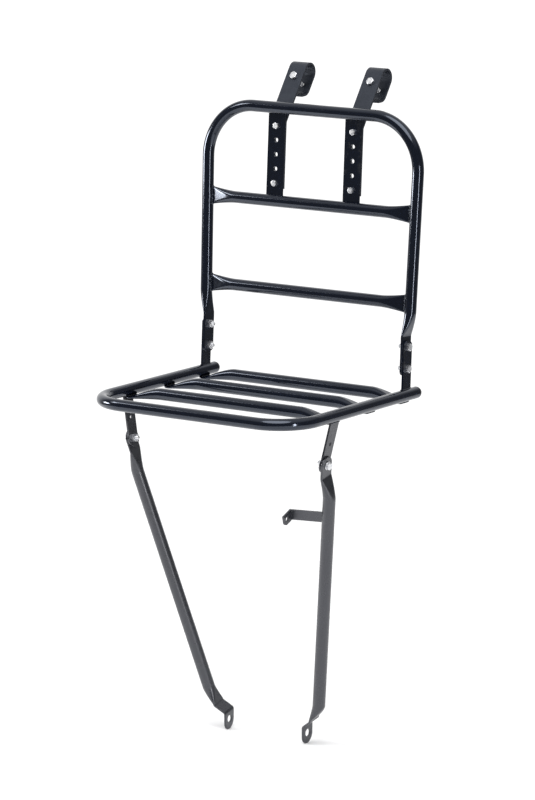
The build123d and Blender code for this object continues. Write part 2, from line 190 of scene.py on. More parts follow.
def grow(name, start, group, **sizes):
    """Runs a tree on a starting mesh and keeps what comes out as a plain mesh object."""
    source = bpy.data.objects.new(name + " start", start)
    scene.collection.objects.link(source)
    modifier = source.modifiers.new(name, "NODES")
    modifier.node_group = group
    for item in group.interface.items_tree:
        key = item.name.replace(" ", "_")
        if item.item_type == "SOCKET" and item.in_out == "INPUT" and key in sizes:
            modifier[item.identifier] = sizes[key]
    graph = bpy.context.evaluated_depsgraph_get()
    mesh = bpy.data.meshes.new_from_object(source.evaluated_get(graph))
    source.modifiers.remove(modifier)
    bpy.data.objects.remove(source)
    piece = bpy.data.objects.new(name, mesh)
    scene.collection.objects.link(piece)
    print(name, len(mesh.polygons), "faces")
    return piece


def place(piece, body, slot_name, *nodes):
    """Lets a piece move with its body and stand for its solids; the slot name is not used."""
    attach(piece, body)
    if nodes:
        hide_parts(*nodes)
    return piece


# %% [markdown]
# ## The finishes
#
# Nearly all the black is paint over steel, but not the same paint. The hoop and platform are deep gloss, the
# legs and hooks a satin that scatters light, and the bolts are bright zinc. Paint is never perfectly flat:
# spraying leaves a fine "orange peel", handling leaves faint wipes that change only the gloss, and raised
# edges rub thin. Each of these is a noise at its own scale, fed to roughness, bump or colour. Black paint
# shows little of its own colour and mostly what it reflects, so the blue of the gloss is put in the
# reflection's tint.

# %% Noise, ramps and a surface to start a finish from
def texture(group, kind, place_on, scale, **inputs):
    """A texture node read at object coordinates."""
    node = group.nodes.new(kind)
    group.links.new(place_on, node.inputs["Vector"])
    node.inputs["Scale"].default_value = scale
    for key, value in inputs.items():
        node.inputs[key].default_value = value
    return node.outputs[0]


def ramp(group, value, *stops):
    """Maps a number to colours; each stop is a position and a colour."""
    node = group.nodes.new("ShaderNodeValToRGB")
    group.links.new(value, node.inputs[0])
    while len(node.color_ramp.elements) < len(stops):
        node.color_ramp.elements.new(0.5)
    for element, (position, colour) in zip(node.color_ramp.elements, stops):
        element.position = position
        element.color = (*colour, 1.0)
    return node.outputs[0]


def span(group, value, low, high, new_low, new_high):
    """Moves a number from one range to another, and stays inside it."""
    node = put(
        group, "ShaderNodeMapRange", {0: value, 1: low, 2: high, 3: new_low, 4: new_high}, clamp=True
    )
    return node.outputs[0]


def start_finish(name, **fixed):
    """A material with its surface shader's fixed values set, and the object coordinates."""
    material = bpy.data.materials.new(name)
    material.use_nodes = True
    group = material.node_tree
    shader = group.nodes["Principled BSDF"]
    for key, value in fixed.items():
        shader.inputs[key.replace("_", " ")].default_value = value
    coordinates = group.nodes.new("ShaderNodeTexCoord").outputs["Object"]
    return material, group, shader, coordinates


def relief(group, shader, *layers):
    """Bump made of several layers: each is a height and its depth in metres."""
    normal = None
    for height, depth in layers:
        bump = put(group, "ShaderNodeBump", {"Height": height, "Distance": depth, "Strength": 1.0})
        if normal is not None:
            group.links.new(normal, bump.inputs["Normal"])
        normal = bump.outputs[0]
    group.links.new(normal, shader.inputs["Normal"])


def rubbed_edges(group, noise):
    """Where the surface is convex and the noise agrees, paint has been rubbed thin."""
    pointiness = group.nodes.new("ShaderNodeNewGeometry").outputs["Pointiness"]
    edge = span(group, pointiness, 0.55, 0.62, 0.0, 1.0)
    patchy = span(group, noise, 0.52, 0.62, 0.0, 1.0)
    return calc(group, "MULTIPLY", edge, patchy)


# %% Paint, gloss or satin
def paint(name, deep, worn, rough, peel, mirror, tint):
    """Sprayed paint: deep and worn colour, roughness, depth of orange peel, reflection and its tint."""
    material, group, shader, spot = start_finish(
        name, Specular_IOR_Level=mirror, Specular_Tint=(*tint, 1.0)
    )
    broad = texture(group, "ShaderNodeTexNoise", spot, 18.0, Detail=4.0)
    fine = texture(group, "ShaderNodeTexNoise", spot, 900.0, Detail=2.0)
    wipes = texture(group, "ShaderNodeTexNoise", spot, 60.0, Detail=6.0, Roughness=0.7)
    lift = tuple(c * 1.35 for c in deep)
    base = ramp(group, broad, (0.3, deep), (0.75, lift))
    thin = rubbed_edges(group, wipes)
    colour = put(group, "ShaderNodeMix", data_type="RGBA")
    group.links.new(thin, colour.inputs["Factor"])
    group.links.new(base, colour.inputs[6])
    colour.inputs[7].default_value = (*worn, 1.0)
    group.links.new(colour.outputs[2], shader.inputs["Base Color"])
    group.links.new(span(group, wipes, 0.35, 0.7, rough * 0.8, rough * 1.35), shader.inputs["Roughness"])
    relief(group, shader, (fine, peel), (broad, peel * 4))
    return material


blue_tint = (0.76, 0.84, 1.0)
grey_tint = (0.92, 0.93, 1.0)
gloss_paint = paint(
    "gloss black paint", (0.0016, 0.0027, 0.0070), (0.03, 0.03, 0.032), 0.11, 0.000004, 0.75, blue_tint
)
satin_paint = paint(
    "satin black paint", (0.011, 0.012, 0.015), (0.07, 0.07, 0.072), 0.29, 0.000010, 1.0, grey_tint
)
hook_paint = paint(
    "satin black paint, hooks", (0.013, 0.015, 0.021), (0.06, 0.06, 0.062), 0.42, 0.000014, 0.6, blue_tint
)
print("paints", gloss_paint.name, satin_paint.name, hook_paint.name)

# %% [markdown]
# ## Zinc and plastic
#
# Zinc plate is a metal, so its colour is the colour of its reflection, and a cloudy noise makes it a little
# yellow here and blue there. The rails' caps are moulded plastic, about as rough as the satin paint.

# %% Zinc plate and the caps' plastic
def zinc():
    """Bright zinc plate: cloudy, a little blue in places and a little yellow in others."""
    material, group, shader, spot = start_finish("bright zinc plate", Metallic=1.0)
    cloud = texture(group, "ShaderNodeTexNoise", spot, 260.0, Detail=5.0, Roughness=0.6)
    grain = texture(group, "ShaderNodeTexNoise", spot, 2600.0, Detail=2.0)
    bluish, plain, yellowish = (0.58, 0.59, 0.63), (0.80, 0.81, 0.83), (0.86, 0.84, 0.78)
    colour = ramp(group, cloud, (0.3, bluish), (0.55, plain), (0.8, yellowish))
    group.links.new(colour, shader.inputs["Base Color"])
    group.links.new(span(group, cloud, 0.3, 0.7, 0.30, 0.48), shader.inputs["Roughness"])
    relief(group, shader, (grain, 0.000008))
    return material


def plastic():
    """Moulded cap: a faint flow pattern in its colour and fine scuffs in its gloss."""
    material, group, shader, spot = start_finish("black cap plastic", Specular_IOR_Level=0.5)
    flow = texture(group, "ShaderNodeTexNoise", spot, 140.0, Detail=3.0)
    scuff = texture(group, "ShaderNodeTexNoise", spot, 700.0, Detail=5.0)
    group.links.new(
        ramp(group, flow, (0.3, (0.008, 0.008, 0.009)), (0.8, (0.016, 0.016, 0.018))),
        shader.inputs["Base Color"],
    )
    group.links.new(span(group, scuff, 0.4, 0.7, 0.22, 0.40), shader.inputs["Roughness"])
    relief(group, shader, (scuff, 0.000012))
    return material


zinc_plate = zinc()
cap_plastic = plastic()
finish = {
    "gloss_black_paint": gloss_paint,
    "satin_black_paint": satin_paint,
    "zinc_plate": zinc_plate,
    "black_cap": cap_plastic,
}
print("finishes", list(finish))

# %% [markdown]
# ## A tube that can be squeezed flat
#
# A workshop bends the tube round a former and then squeezes its ends in a press. The metal doesn't stretch:
# the round wall moves into two flats joined by two tight folds. The same rule makes the mesh. The tree sweeps
# a ring along the path, remembers for each point how far along it is and where on the ring it sits, and then
# moves it onto a "stadium" that is wide and thin where the tube is squeezed, and a circle where it is not.
# Points share the outline evenly, as the metal does. A sculpted mesh could look the same, but would have to
# be made nine times over, and wouldn't follow the sizes.

# %% The path of a tube
def bent_line(corners, bends, step):
    """Points along straight runs joined by arcs of the given radii."""
    corners = [Vector(corner) for corner in corners]
    points = [corners[0]]

    def run_to(goal):
        start = points[-1].copy()
        count = max(1, ceil((goal - start).length / step))
        points.extend(start.lerp(goal, index / count) for index in range(1, count + 1))

    for before, corner, after, bend in zip(corners, corners[1:], corners[2:], bends):
        back = (before - corner).normalized()
        on = (after - corner).normalized()
        inside = back.angle(on)
        run_to(corner + back * (bend / tan(inside / 2)))
        centre = corner + (back + on).normalized() * (bend / sin(inside / 2))
        arm = points[-1] - centre
        axis = arm.cross(corner - centre).normalized()
        count = max(4, ceil((pi - inside) / 0.05))
        for index in range(1, count + 1):
            points.append(centre + Quaternion(axis, (pi - inside) * index / count) @ arm)
    run_to(corners[-1])
    return points


def fine_tip(points, tip, count=9):
    """The same points, closer together near the first one, so that a round tip comes out smooth."""
    heading = (points[1] - points[0]).normalized()
    near = [points[0] + heading * tip * (1 - cos(pi / 2 * index / count)) for index in range(count + 1)]
    return near + [point for point in points if (point - points[0]).length > tip * 1.02]


def path_mesh(name, *lines, closed=False):
    """A mesh with no faces whose edges are the lines."""
    mesh = bpy.data.meshes.new(name)
    points = []
    edges = []
    for line in lines:
        first = len(points)
        points += line
        edges += [(index, index + 1) for index in range(first, len(points) - 1)]
        if closed:
            edges.append((len(points) - 1, first))
    mesh.from_pydata(points, edges, [])
    return mesh


# %% The tree that sweeps and squeezes
def squeezed_tube_tree(name, material):
    """Start and end each have a flat length, a length over which the tube turns flat, and a sideways shift."""
    group, size = new_tree(
        name,
        Radius=tube_r,
        Width=squeezed_width,
        Thickness=squeezed_thickness,
        Sides=48,
        Flare=1.5,
        Across=across,
        Start_flat=-1.0,
        Start_squeeze=0.03,
        Start_shift=Vector((0, 0, 0)),
        Start_corner=0.0,
        End_flat=-1.0,
        End_squeeze=0.03,
        End_shift=Vector((0, 0, 0)),
        End_corner=0.0,
    )
    line = put(group, "GeometryNodeMeshToCurve", {0: size["Geometry"]}).outputs[0]
    parameter = put(group, "GeometryNodeSplineParameter").outputs["Length"]
    whole = put(group, "GeometryNodeSplineLength").outputs["Length"]
    line = keep(group, line, "from_start", parameter)
    line = keep(group, line, "from_end", calc(group, "SUBTRACT", whole, parameter))
    line = keep(group, line, "middle", put(group, "GeometryNodeInputPosition").outputs[0], "FLOAT_VECTOR")
    line = keep(group, line, "heading", put(group, "GeometryNodeInputTangent").outputs[0], "FLOAT_VECTOR")
    ring = put(
        group, "GeometryNodeCurvePrimitiveCircle", {"Resolution": size["Sides"], "Radius": 1.0}
    ).outputs[0]
    ring = keep(group, ring, "ring", put(group, "GeometryNodeInputPosition").outputs[0], "FLOAT_VECTOR")
    swept = put(group, "GeometryNodeCurveToMesh", {"Curve": line, "Profile Curve": ring, "Fill Caps": True})
    swept = swept.outputs[0]

    squeezes = []
    trims = []
    centre = read(group, "middle", "FLOAT_VECTOR")
    for end in ("Start", "End"):
        distance = read(group, "from_" + end.lower())
        round_from = calc(group, "ADD", size[end + " flat"], size[end + " squeeze"])
        turning = put(
            group, "ShaderNodeMapRange", {0: distance, 1: size[end + " flat"], 2: round_from, 3: 1.0, 4: 0.0}
        ).outputs[0]
        turning = calc(group, "POWER", turning, size["Flare"])
        squeezes.append(turning)
        centre = vec(group, "ADD", centre, vec(group, "SCALE", size[end + " shift"], turning))
        corner = calc(group, "MAXIMUM", size[end + " corner"], 0.000001)
        passed = calc(group, "DIVIDE", distance, corner)
        left = calc(group, "MAXIMUM", calc(group, "SUBTRACT", 1.0, passed), 0.0)
        arc = calc(group, "SQRT", calc(group, "SUBTRACT", 1.0, calc(group, "MULTIPLY", left, left)))
        trims.append(calc(group, "MULTIPLY", corner, calc(group, "SUBTRACT", 1.0, arc)))
    squeeze = calc(group, "MAXIMUM", *squeezes)
    trim = calc(group, "ADD", *trims)

    half_thin = calc(group, "MULTIPLY", size["Thickness"], 0.5)
    thinning = calc(group, "SUBTRACT", size["Radius"], half_thin)
    fold = calc(group, "SUBTRACT", size["Radius"], calc(group, "MULTIPLY", thinning, squeeze))
    half_flat = calc(group, "MULTIPLY", calc(group, "SUBTRACT", size["Width"], size["Thickness"]), 0.5)
    flat = calc(group, "SUBTRACT", calc(group, "MULTIPLY", half_flat, squeeze), trim)
    fold = calc(group, "MAXIMUM", calc(group, "ADD", fold, calc(group, "MINIMUM", flat, 0.0)), 0.00001)
    flat = calc(group, "MAXIMUM", flat, 0.0)

    parts = put(group, "ShaderNodeSeparateXYZ", {0: read(group, "ring", "FLOAT_VECTOR")}).outputs
    wide, thin = calc(group, "ABSOLUTE", parts[0]), calc(group, "ABSOLUTE", parts[1])
    share = calc(group, "DIVIDE", calc(group, "ARCTAN2", wide, thin), pi / 2)
    outline = calc(group, "ADD", flat, calc(group, "MULTIPLY", fold, pi / 2))
    travel = calc(group, "MULTIPLY", share, outline)
    round_it = calc(group, "DIVIDE", calc(group, "MAXIMUM", calc(group, "SUBTRACT", travel, flat), 0.0), fold)
    reach = calc(group, "MINIMUM", travel, flat)
    reach = calc(group, "ADD", reach, calc(group, "MULTIPLY", fold, calc(group, "SINE", round_it)))
    reach = calc(group, "MULTIPLY", reach, calc(group, "SIGN", parts[0]))
    rise = calc(group, "MULTIPLY", fold, calc(group, "COSINE", round_it))
    rise = calc(group, "MULTIPLY", rise, calc(group, "SIGN", parts[1]))
    heading = read(group, "heading", "FLOAT_VECTOR")
    upright = vec(group, "NORMALIZE", vec(group, "CROSS_PRODUCT", heading, size["Across"]))
    spot = vec(group, "ADD", centre, vec(group, "SCALE", size["Across"], reach))
    spot = vec(group, "ADD", spot, vec(group, "SCALE", upright, rise))
    moved = put(group, "GeometryNodeSetPosition", {"Geometry": swept, "Position": spot}).outputs[0]
    closed = put(group, "GeometryNodeMergeByDistance", {"Geometry": moved, "Distance": 0.00002}).outputs[0]
    for attribute in ("from_start", "from_end", "middle", "heading", "ring"):
        closed = put(group, "GeometryNodeRemoveAttribute", {"Geometry": closed, "Name": attribute}).outputs[0]
    return end_tree(group, closed, material)


gloss_tube = squeezed_tube_tree("bent tube with squeezed ends, gloss", gloss_paint)
satin_tube = squeezed_tube_tree("bent tube with squeezed ends, satin", satin_paint)


def tidy_faces(piece, sharp=radians(35)):
    """Turns the faces outwards and smooths them, except across sharp edges."""
    work = bmesh.new()
    work.from_mesh(piece.data)
    bmesh.ops.remove_doubles(work, verts=work.verts, dist=0.000005)
    bmesh.ops.recalc_face_normals(work, faces=work.faces)
    work.to_mesh(piece.data)
    work.free()
    piece.data.shade_smooth()
    piece.data.set_sharp_from_angle(angle=sharp)
    return piece


# %% [markdown]
# ## The back hoop
#
# One tube goes up, over and down. Its two ends are squeezed flat facing sideways, so that they bolt against the
# tabs on the platform. The uprights lean back a little and spread as they rise, so they aren't parallel.

# %% The back hoop
upright_foot_x = 174.19 * MM
upright_top_x = 179.57 * MM
flat_end_x = 168.5 * MM
hoop_end, hoop_flat_top, hoop_round = 28 * MM, 84 * MM, 118 * MM
right_side = [
    on_hoop(upright_foot_x, hoop_end),
    on_hoop(upright_foot_x, hoop_round),
    on_hoop(upright_top_x, hoop_top_height),
]
left_side = [Vector((-point.x, point.y, point.z)) for point in right_side]
hoop_line = bent_line(
    [left_side[0], left_side[1], left_side[2], right_side[2], right_side[1], right_side[0]],
    [0.4, 75 * MM, 75 * MM, 0.4],
    3 * MM,
)
hoop_line = fine_tip(hoop_line, 6 * MM)
hoop_line = fine_tip(hoop_line[::-1], 6 * MM)[::-1]
sideways = upright_foot_x - flat_end_x
back_hoop = grow(
    "back_hoop_tube",
    path_mesh("hoop line", hoop_line),
    gloss_tube,
    Across=lean_front,
    Start_flat=hoop_flat_top - hoop_end,
    Start_squeeze=hoop_round - hoop_flat_top,
    Start_shift=across * sideways,
    Start_corner=6 * MM,
    End_flat=hoop_flat_top - hoop_end,
    End_squeeze=hoop_round - hoop_flat_top,
    End_shift=across * -sideways,
    End_corner=6 * MM,
)
place(tidy_faces(back_hoop), "carrier", "gloss_black_paint", "back_hoop")

# %% [markdown]
# ## The two crossbars and the three slats
#
# These are straight tubes with both ends squeezed. A crossbar's ends stand upright, against the hoop, and meet
# its round side. A slat's ends lie flat under the rails: its underside stays straight and its top comes down.

# %% Crossbars
for name, height in bar_heights.items():
    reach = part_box(name)[1].x
    ends = [on_hoop(-reach, height), on_hoop(reach, height)]
    bar = grow(
        name + "_tube",
        path_mesh(name, bent_line(ends, [], 2 * MM)),
        gloss_tube,
        Across=lean_up,
        Start_flat=3 * MM,
        Start_squeeze=38 * MM,
        End_flat=3 * MM,
        End_squeeze=38 * MM,
    )
    place(tidy_faces(bar), "carrier", "gloss_black_paint", name)

# %% Slats
slat_drop = 8.2 * MM
slat_flat_x, slat_squeeze = 164 * MM, 46 * MM
slat_names = ("front_slat", "middle_slat", "rear_slat")
for name in slat_names:
    low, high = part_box(name)
    y = (low.y + high.y) / 2
    z = high.z - tube_r
    ends = [Vector((-high.x, y, z)), Vector((high.x, y, z))]
    slat = grow(
        name + "_tube",
        path_mesh(name, bent_line(ends, [], 2 * MM)),
        gloss_tube,
        Across=Vector((0, 1, 0)),
        Start_flat=high.x - slat_flat_x,
        Start_squeeze=slat_squeeze,
        Start_shift=Vector((0, 0, -slat_drop)),
        Start_corner=1.5 * MM,
        End_flat=high.x - slat_flat_x,
        End_squeeze=slat_squeeze,
        End_shift=Vector((0, 0, -slat_drop)),
        End_corner=1.5 * MM,
    )
    place(tidy_faces(slat), "carrier", "gloss_black_paint", name)

# %% [markdown]
# ## The platform
#
# The widest piece is a plain bend: back rail end, left rail, front, right rail. It stays round all the way, and
# the same tree makes it with no squeeze.

# %% The platform tube
caps_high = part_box("rail_end_caps")[1]
rail_end_y = rail_high.y
front_y = rail_low.y + tube_r
platform_corner = 59 * MM
platform_line = bent_line(
    [
        Vector((-rail_x, rail_end_y, rail_z)),
        Vector((-rail_x, front_y, rail_z)),
        Vector((rail_x, front_y, rail_z)),
        Vector((rail_x, rail_end_y, rail_z)),
    ],
    [platform_corner, platform_corner],
    3 * MM,
)
platform = grow(
    "platform_tube", path_mesh("platform line", platform_line), gloss_tube, Across=Vector((0, 0, 1))
)
place(tidy_faces(platform), "carrier", "gloss_black_paint", "platform_hoop")

# %% [markdown]
# ## The rails' end caps
#
# A domed cap is pushed into the end of each rail. Anything turned can be drawn as half of its outline and spun
# about its axis, which is what a lathe does. The same helper makes the drills that cut the holes later on.

# %% The rails' end caps
def lathe(name, outline, centre, axis, steps=48):
    """Turns an outline, given as (radius, along) pairs, about an axis through a centre."""
    side = axis.orthogonal().normalized()
    work = bmesh.new()
    points = [work.verts.new(centre + side * radius + axis * along) for radius, along in outline]
    edges = [work.edges.new(pair) for pair in zip(points, points[1:])]
    bmesh.ops.spin(work, geom=points + edges, cent=centre, axis=axis, angle=2 * pi, steps=steps)
    mesh = bpy.data.meshes.new(name)
    work.to_mesh(mesh)
    work.free()
    piece = bpy.data.objects.new(name, mesh)
    scene.collection.objects.link(piece)
    return tidy_faces(piece)


def join(name, pieces, material):
    """Several meshes in one object."""
    work = bmesh.new()
    for piece in pieces:
        work.from_mesh(piece.data)
        bpy.data.objects.remove(piece)
    mesh = bpy.data.meshes.new(name)
    work.to_mesh(mesh)
    work.free()
    mesh.materials.append(material)
    joined = bpy.data.objects.new(name, mesh)
    scene.collection.objects.link(joined)
    return joined


dome = caps_high.y - rail_end_y
cap_rim = tube_r - 0.02 * MM
cap_outline = [
    (0.0, -1 * MM),
    (tube_r - 0.4 * MM, -1 * MM),
    (cap_rim, 0.2 * MM),
    (cap_rim, 1.2 * MM),
]
for index in range(11):
    angle = pi / 2 * index / 10
    cap_outline.append(((tube_r - 0.35 * MM) * cos(angle), 1.5 * MM + (dome - 1.5 * MM) * sin(angle)))
caps = [
    lathe("cap", cap_outline, Vector((side * rail_x, rail_end_y, rail_z)), Vector((0, 1, 0)))
    for side in (-1, 1)
]
cap_pair = join("rail_caps", caps, cap_plastic)
place(tidy_faces(cap_pair), "carrier", "black_cap", "rail_end_caps")

# %% [markdown]
# ## The two legs
#
# A leg is the same squeezed tube with more bends. Its top is pressed flat and rounded off round the pivot
# bolt. Near the bottom it is pressed again, cranked in towards the wheel and bent back upright, and the end
# is rounded and drilled for the axle. The joint in the record gives the pivot and its axis, so the leg is
# laid out from them: down along the tube, then to the pinch, along the crank, and down past the axle.

# %% The legs
def cut(piece, cutters, bevel=0.35 * MM):
    """Takes cutters out of a piece, then breaks its sharp edges a little."""
    for cutter in cutters:
        modifier = piece.modifiers.new("cut", "BOOLEAN")
        modifier.object = cutter
        modifier.solver = "EXACT"
    modifier = piece.modifiers.new("edges", "BEVEL")
    modifier.width = bevel
    modifier.segments = 2
    modifier.limit_method = "ANGLE"
    modifier.angle_limit = radians(50)
    graph = bpy.context.evaluated_depsgraph_get()
    mesh = bpy.data.meshes.new_from_object(piece.evaluated_get(graph))
    piece.modifiers.clear()
    piece.data = mesh
    for cutter in cutters:
        bpy.data.objects.remove(cutter)
    return piece


def drill(centre, axis, radius, length=0.02):
    """A plain rod to cut a hole with."""
    outline = [(0, -length / 2), (radius, -length / 2), (radius, length / 2), (0, length / 2)]
    return lathe("drill", outline, centre, axis)


axle = next(mount for mount in record["mounts"] if mount["name"] == "axle_bore")
leg_swing = radians(13.25)
leg_squeezed_width = 24.5 * MM
foot_rise, foot_bend_height = 22 * MM, 12 * MM
end_round = 12 * MM
pivot_gap = 0.1 * MM
flat_out = pivot_gap + squeezed_thickness / 2
tube_out = pivot_gap + leg_tube_r
for joint in frame["joints"]:
    side = "left" if joint["pos_m"][0] < 0 else "right"
    sign = -1 if side == "left" else 1
    pivot = Vector(joint["pos_m"])
    outward = Vector(joint["axis"]).normalized() * sign
    up = (Vector((0, 0, 1)) - outward * outward.z).normalized()
    down = (Vector((0, 1, 0)) * sin(leg_swing) - up * cos(leg_swing)).normalized()
    leg_across = outward.cross(down).normalized()
    shift = outward * (flat_out - tube_out)
    foot_low, foot_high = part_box(side + "_leg")
    foot_x = sign * (min(abs(foot_low.x), abs(foot_high.x)) + squeezed_thickness / 2)
    leg_length = -pivot.y / sin(leg_swing)
    crease = pivot + outward * flat_out + down * (leg_length - foot_rise)
    foot_bend = Vector((foot_x, 0, foot_bend_height))
    corners = [
        pivot + outward * tube_out - down * squeezed_width / 2,
        crease - shift,
        foot_bend - shift,
        Vector((foot_x, 0, foot_low.z + 0.4 * MM)) - shift,
    ]
    leg_line = bent_line(corners, [3 * MM, 4 * MM], 1.8 * MM)
    leg_line = fine_tip(leg_line, squeezed_width / 2)
    leg_line = fine_tip(leg_line[::-1], 11.5 * MM)[::-1]
    foot_length = (corners[2] - corners[1]).length + (corners[3] - corners[2]).length
    leg = grow(
        side + "_leg_tube",
        path_mesh(side + " leg line", leg_line),
        satin_tube,
        Radius=leg_tube_r,
        Width=leg_squeezed_width,
        Flare=1.3,
        Across=leg_across,
        Start_flat=squeezed_width / 2 + 18 * MM,
        Start_squeeze=32 * MM,
        Start_shift=shift,
        Start_corner=end_round,
        End_flat=foot_length + 2 * MM,
        End_squeeze=24 * MM,
        End_shift=shift,
        End_corner=end_round,
    )
    tidy_faces(leg)
    cut(leg, [drill(Vector((foot_x, 0, 0)), across, axle["dims"]["r_mm"] * MM)])
    place(tidy_faces(leg), joint["child"], "satin_black_paint", side + "_leg")

# %% [markdown]
# ## Flat strips: hook plates, hooks, tabs, brackets and the lamp holder
#
# These are sheared, punched and bent from flat bar. Their solids already have the right outline and holes,
# but a solid's edges are perfectly sharp, and a sharp edge catches no light. A copy of each is merged, its
# flat faces are made whole again, and a small bevel breaks the edges as tumbling and paint do. The bevel is
# narrow, so the outline stays where it was.

# %% Strips from their solids
def softened(node, name, slot_name, body, bevel, coat=None):
    """A copy of a solid with its edges broken, in its slot's finish unless another coat is given."""
    mesh = frame["nodes"][node].data.copy()
    mesh.materials.clear()
    work = bmesh.new()
    work.from_mesh(mesh)
    bmesh.ops.remove_doubles(work, verts=work.verts, dist=0.000002)
    bmesh.ops.dissolve_limit(work, angle_limit=radians(0.6), verts=work.verts, edges=work.edges)
    work.to_mesh(mesh)
    work.free()
    mesh.materials.append(coat or finish[slot_name])
    piece = bpy.data.objects.new(name, mesh)
    scene.collection.objects.link(piece)
    cut(piece, [], bevel)
    mesh = piece.data
    mesh.shade_smooth()
    mesh.set_sharp_from_angle(angle=radians(20))
    print(name, len(mesh.polygons), "faces")
    return place(piece, body, slot_name, node)


for side in ("left", "right"):
    softened(side + "_hook_plate", side + "_plate_strip", "gloss_black_paint", "carrier", 0.3 * MM)
    softened(
        side + "_hook_strap", side + "_strap_strip", "satin_black_paint", "carrier", 0.45 * MM, hook_paint
    )
    softened(side + "_rear_tab", side + "_tab_strip", "gloss_black_paint", "carrier", 0.4 * MM)
    softened(side + "_leg_bracket", side + "_bracket_strip", "satin_black_paint", "carrier", 0.4 * MM)
softened("lamp_bracket", "lamp_strip", "satin_black_paint", "right_leg", 0.4 * MM)
softened("pivot_washers", "washer_pair", "zinc_plate", "carrier", 0.15 * MM)

# %% [markdown]
# ## Hexagon bolts and nuts
#
# A bolt head is turned before it is used: a cone takes the corners off its top, which leaves the curved arcs
# that make a hexagon head look real. The tree starts from a round disc, pushes its rim out to a hexagon, and
# lowers whatever the cone would cut. The thread is a cylinder whose radius goes in and out with the height
# and the angle together, which is what a helix is. The finished bolt is set out on points, each with its own
# facing and a turn of its own, since nobody lines up bolt heads.

# %% Trees for the bolts and the nuts
def hexagon(group, flats, height, dish, thread_r):
    """A disc pushed out to a hexagon, coned at its rim and, for a nut, dished round its thread."""
    disc = put(
        group, "GeometryNodeMeshCylinder", {"Vertices": 48, "Fill Segments": 9, "Radius": 1.0, "Depth": 1.0}
    ).outputs["Mesh"]
    spot = put(group, "GeometryNodeInputPosition").outputs[0]
    parts = put(group, "ShaderNodeSeparateXYZ", {0: spot}).outputs
    angle = calc(group, "ARCTAN2", parts[1], parts[0])
    within = calc(group, "SUBTRACT", calc(group, "MODULO", calc(group, "ADD", angle, 2 * pi), pi / 3), pi / 6)
    half = calc(group, "MULTIPLY", flats, 0.5)
    rim = calc(group, "DIVIDE", half, calc(group, "COSINE", within))
    flat_spot = put(group, "ShaderNodeCombineXYZ", {0: parts[0], 1: parts[1]}).outputs[0]
    spread = vec(group, "SCALE", flat_spot, rim)
    radius = vec(group, "LENGTH", spread)
    cone = calc(group, "MAXIMUM", calc(group, "SUBTRACT", radius, calc(group, "MULTIPLY", half, 0.95)), 0.0)
    lowered = calc(group, "SUBTRACT", height, calc(group, "MULTIPLY", cone, tan(radians(30))))
    bore = calc(group, "SUBTRACT", calc(group, "MULTIPLY", thread_r, 1.2), radius)
    bore = calc(group, "MINIMUM", calc(group, "MAXIMUM", bore, 0.0), dish)
    lowered = calc(group, "SUBTRACT", lowered, bore)
    upper = calc(group, "GREATER_THAN", parts[2], 0.0)
    level = put(group, "ShaderNodeCombineXYZ", {2: calc(group, "MULTIPLY", lowered, upper)}).outputs[0]
    return put(
        group, "GeometryNodeSetPosition", {"Geometry": disc, "Position": vec(group, "ADD", spread, level)}
    ).outputs[0]


def set_out(group, points, one, seed):
    """Puts one thing on every point, facing the way the point says and turned by chance about that line."""
    facing = put(
        group, "FunctionNodeAlignRotationToVector", {"Vector": read(group, "facing", "FLOAT_VECTOR")}, axis="Z"
    ).outputs[0]
    turn = put(
        group, "FunctionNodeRandomValue", {2: 0.0, 3: pi / 3, "Seed": seed}, data_type="FLOAT"
    ).outputs[1]
    own = put(
        group, "FunctionNodeAxisAngleToRotation", {"Axis": Vector((0, 0, 1)), "Angle": turn}
    ).outputs[0]
    rotation = put(
        group, "FunctionNodeRotateRotation", {"Rotation": facing, "Rotate By": own}, rotation_space="LOCAL"
    ).outputs[0]
    return put(
        group, "GeometryNodeInstanceOnPoints", {"Points": points, "Instance": one, "Rotation": rotation}
    ).outputs[0]


